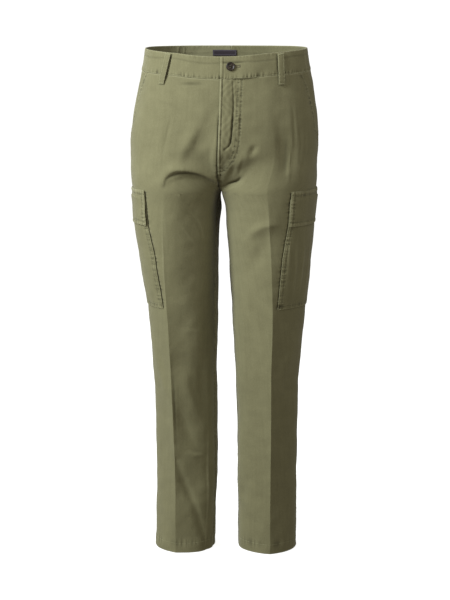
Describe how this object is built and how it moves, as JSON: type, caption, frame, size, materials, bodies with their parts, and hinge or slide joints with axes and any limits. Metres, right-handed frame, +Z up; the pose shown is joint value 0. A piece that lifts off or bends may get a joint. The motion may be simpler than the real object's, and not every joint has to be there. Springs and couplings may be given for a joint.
{
  "type": "cargo chino trousers",
  "caption": "Full-length olive cargo trousers with pressed creases, slant pockets, flapped thigh pockets, belt loops and a buttoned waistband, filled out as worn and open at waist and hems.",
  "frame": {"origin": "middle of the waist opening, where a wearer's waist holds the trousers up", "axes": "+Z up from the hems to the waist, -Y the front with the fly, +X the wearer's left"},
  "size_m": [0.3833, 0.2583, 1.0581],
  "materials": {
    "twill": "washed cotton twill, matt olive green",
    "thread": "olive sewing thread",
    "button": "dark horn, satin",
    "label": "plain dark blue woven tape"
  },
  "bodies": {
    "root": {"left_front": "twill", "left_back": "twill", "left_pocket_facing": "twill", "left_cargo_pocket": "twill", "left_cargo_flap": "twill", "waistband_left_front": "twill", "waistband_left_back": "twill", "right_front": "twill", "right_back": "twill", "right_pocket_facing": "twill", "right_cargo_pocket": "twill", "right_cargo_flap": "twill", "waistband_right_front": "twill", "waistband_right_back": "twill", "belt_loop_left_front": "twill", "belt_loop_right_front": "twill", "belt_loop_left_back": "twill", "belt_loop_right_back": "twill", "belt_loop_centre_back": "twill", "waist_button": "button", "inside_label": "label"}
  },
  "joints": []
}
